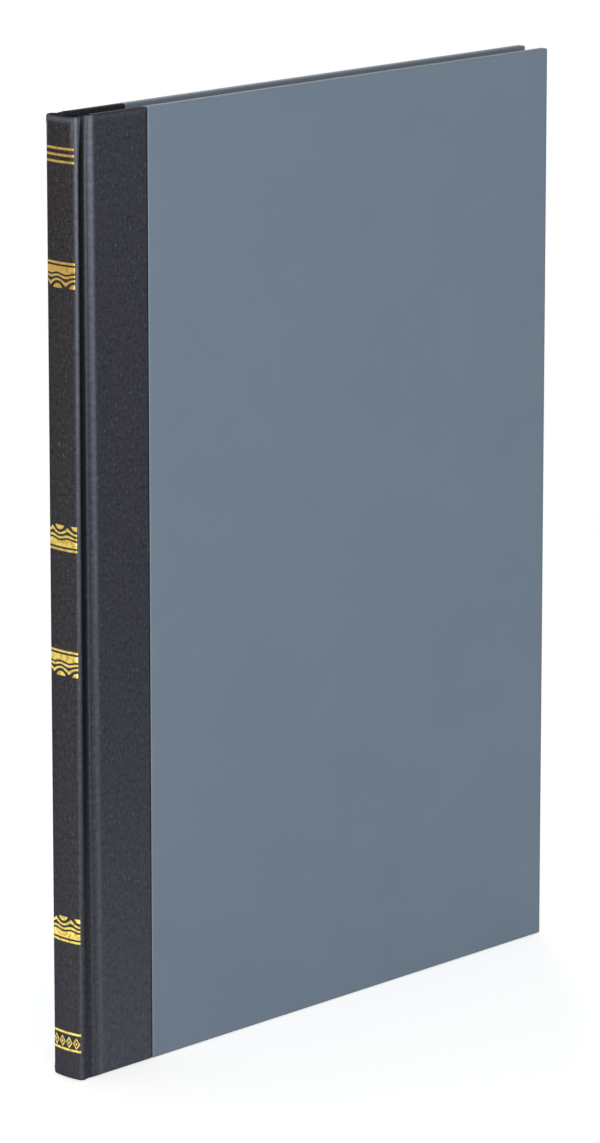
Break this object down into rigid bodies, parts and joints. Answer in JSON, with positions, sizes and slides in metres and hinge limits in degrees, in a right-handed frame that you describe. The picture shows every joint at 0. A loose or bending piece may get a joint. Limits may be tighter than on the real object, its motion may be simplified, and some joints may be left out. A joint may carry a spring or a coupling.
{
  "type": "account ledger book",
  "caption": "Case-bound account ledger with a dark cloth spine, slate-blue paper sides and gilt spine bands; its covers swing open and the sewn leaves fan out.",
  "frame": {"origin": "middle of the footprint, on the surface that the tail edges stand on", "axes": "+X from the spine to the fore-edge, +Y from the front cover to the back cover, +Z from tail to head"},
  "size_m": [0.184, 0.011, 0.258],
  "materials": {
    "bookcloth": "matt dark grey bookcloth, fine grain",
    "siding_paper": "matt slate-blue cover paper",
    "greyboard": "raw grey board",
    "endpaper": "uncoated off-white endpaper",
    "leaf_paper": "uncoated cream writing paper",
    "lining_paper": "brown kraft lining",
    "mull": "open-weave cotton gauze",
    "thread": "waxed white sewing thread",
    "headband": "woven striped band"
  },
  "bodies": {
    "bound_spine": {"spine_cloth": "bookcloth", "spine_card": "greyboard", "spine_lining": "lining_paper", "mull_spine": "mull", "head_band": "headband", "tail_band": "headband", "signature_fold_1": "leaf_paper", "signature_fold_2": "leaf_paper", "signature_fold_3": "leaf_paper", "signature_fold_4": "leaf_paper", "signature_fold_5": "leaf_paper", "signature_fold_6": "leaf_paper", "sewing_thread_1": "thread", "sewing_thread_2": "thread", "sewing_thread_3": "thread", "sewing_thread_4": "thread", "sewing_thread_5": "thread", "sewing_thread_6": "thread"},
    "front_cover": {"front_board": "greyboard", "front_cloth_side": "bookcloth", "front_cover_paper": "siding_paper", "front_mull_flange": "mull", "front_pastedown": "endpaper"},
    "front_flyleaf": {"front_flyleaf": "endpaper"},
    "front_leaves_1": {"front_leaves_1": "leaf_paper"},
    "front_leaves_2": {"front_leaves_2": "leaf_paper"},
    "front_leaves_3": {"front_leaves_3": "leaf_paper"},
    "front_leaves_4": {"front_leaves_4": "leaf_paper"},
    "front_leaves_5": {"front_leaves_5": "leaf_paper"},
    "front_leaves_6": {"front_leaves_6": "leaf_paper"},
    "back_cover": {"back_board": "greyboard", "back_cloth_side": "bookcloth", "back_cover_paper": "siding_paper", "back_mull_flange": "mull", "back_pastedown": "endpaper"},
    "back_flyleaf": {"back_flyleaf": "endpaper"},
    "back_leaves_1": {"back_leaves_1": "leaf_paper"},
    "back_leaves_2": {"back_leaves_2": "leaf_paper"},
    "back_leaves_3": {"back_leaves_3": "leaf_paper"},
    "back_leaves_4": {"back_leaves_4": "leaf_paper"},
    "back_leaves_5": {"back_leaves_5": "leaf_paper"},
    "back_leaves_6": {"back_leaves_6": "leaf_paper"}
  },
  "joints": [
    {"name": "front_cover_hinge", "type": "hinge", "parent": "bound_spine", "child": "front_cover", "pos_m": [-0.08783, -0.00575, 0.129], "axis": [0, 0, -1], "range_deg": [0, 175]},
    {"name": "front_flyleaf_turn", "type": "hinge", "parent": "bound_spine", "child": "front_flyleaf", "pos_m": [-0.08783, -0.00575, 0.129], "axis": [0, 0, -1], "range_deg": [0, 175]},
    {"name": "front_leaves_1_turn", "type": "hinge", "parent": "bound_spine", "child": "front_leaves_1", "pos_m": [-0.08783, -0.00575, 0.129], "axis": [0, 0, -1], "range_deg": [0, 175]},
    {"name": "front_leaves_2_turn", "type": "hinge", "parent": "bound_spine", "child": "front_leaves_2", "pos_m": [-0.08783, -0.00575, 0.129], "axis": [0, 0, -1], "range_deg": [0, 175]},
    {"name": "front_leaves_3_turn", "type": "hinge", "parent": "bound_spine", "child": "front_leaves_3", "pos_m": [-0.08783, -0.00575, 0.129], "axis": [0, 0, -1], "range_deg": [0, 175]},
    {"name": "front_leaves_4_turn", "type": "hinge", "parent": "bound_spine", "child": "front_leaves_4", "pos_m": [-0.08783, -0.00575, 0.129], "axis": [0, 0, -1], "range_deg": [0, 175]},
    {"name": "front_leaves_5_turn", "type": "hinge", "parent": "bound_spine", "child": "front_leaves_5", "pos_m": [-0.08783, -0.00575, 0.129], "axis": [0, 0, -1], "range_deg": [0, 175]},
    {"name": "front_leaves_6_turn", "type": "hinge", "parent": "bound_spine", "child": "front_leaves_6", "pos_m": [-0.08783, -0.00575, 0.129], "axis": [0, 0, -1], "range_deg": [0, 175]},
    {"name": "back_cover_hinge", "type": "hinge", "parent": "bound_spine", "child": "back_cover", "pos_m": [-0.08783, 0.00575, 0.129], "axis": [0, 0, 1], "range_deg": [0, 175]},
    {"name": "back_flyleaf_turn", "type": "hinge", "parent": "bound_spine", "child": "back_flyleaf", "pos_m": [-0.08783, 0.00575, 0.129], "axis": [0, 0, 1], "range_deg": [0, 175]},
    {"name": "back_leaves_1_turn", "type": "hinge", "parent": "bound_spine", "child": "back_leaves_1", "pos_m": [-0.08783, 0.00575, 0.129], "axis": [0, 0, 1], "range_deg": [0, 175]},
    {"name": "back_leaves_2_turn", "type": "hinge", "parent": "bound_spine", "child": "back_leaves_2", "pos_m": [-0.08783, 0.00575, 0.129], "axis": [0, 0, 1], "range_deg": [0, 175]},
    {"name": "back_leaves_3_turn", "type": "hinge", "parent": "bound_spine", "child": "back_leaves_3", "pos_m": [-0.08783, 0.00575, 0.129], "axis": [0, 0, 1], "range_deg": [0, 175]},
    {"name": "back_leaves_4_turn", "type": "hinge", "parent": "bound_spine", "child": "back_leaves_4", "pos_m": [-0.08783, 0.00575, 0.129], "axis": [0, 0, 1], "range_deg": [0, 175]},
    {"name": "back_leaves_5_turn", "type": "hinge", "parent": "bound_spine", "child": "back_leaves_5", "pos_m": [-0.08783, 0.00575, 0.129], "axis": [0, 0, 1], "range_deg": [0, 175]},
    {"name": "back_leaves_6_turn", "type": "hinge", "parent": "bound_spine", "child": "back_leaves_6", "pos_m": [-0.08783, 0.00575, 0.129], "axis": [0, 0, 1], "range_deg": [0, 175]}
  ],
  "couplings": [
    {"joint": "front_flyleaf_turn", "follows": "front_cover_hinge", "ratio": 0.96},
    {"joint": "front_leaves_1_turn", "follows": "front_cover_hinge", "ratio": 0.9},
    {"joint": "front_leaves_2_turn", "follows": "front_cover_hinge", "ratio": 0.77},
    {"joint": "front_leaves_3_turn", "follows": "front_cover_hinge", "ratio": 0.63},
    {"joint": "front_leaves_4_turn", "follows": "front_cover_hinge", "ratio": 0.48},
    {"joint": "front_leaves_5_turn", "follows": "front_cover_hinge", "ratio": 0.32},
    {"joint": "front_leaves_6_turn", "follows": "front_cover_hinge", "ratio": 0.15},
    {"joint": "back_flyleaf_turn", "follows": "back_cover_hinge", "ratio": 0.96},
    {"joint": "back_leaves_1_turn", "follows": "back_cover_hinge", "ratio": 0.9},
    {"joint": "back_leaves_2_turn", "follows": "back_cover_hinge", "ratio": 0.77},
    {"joint": "back_leaves_3_turn", "follows": "back_cover_hinge", "ratio": 0.63},
    {"joint": "back_leaves_4_turn", "follows": "back_cover_hinge", "ratio": 0.48},
    {"joint": "back_leaves_5_turn", "follows": "back_cover_hinge", "ratio": 0.32},
    {"joint": "back_leaves_6_turn", "follows": "back_cover_hinge", "ratio": 0.15}
  ]
}
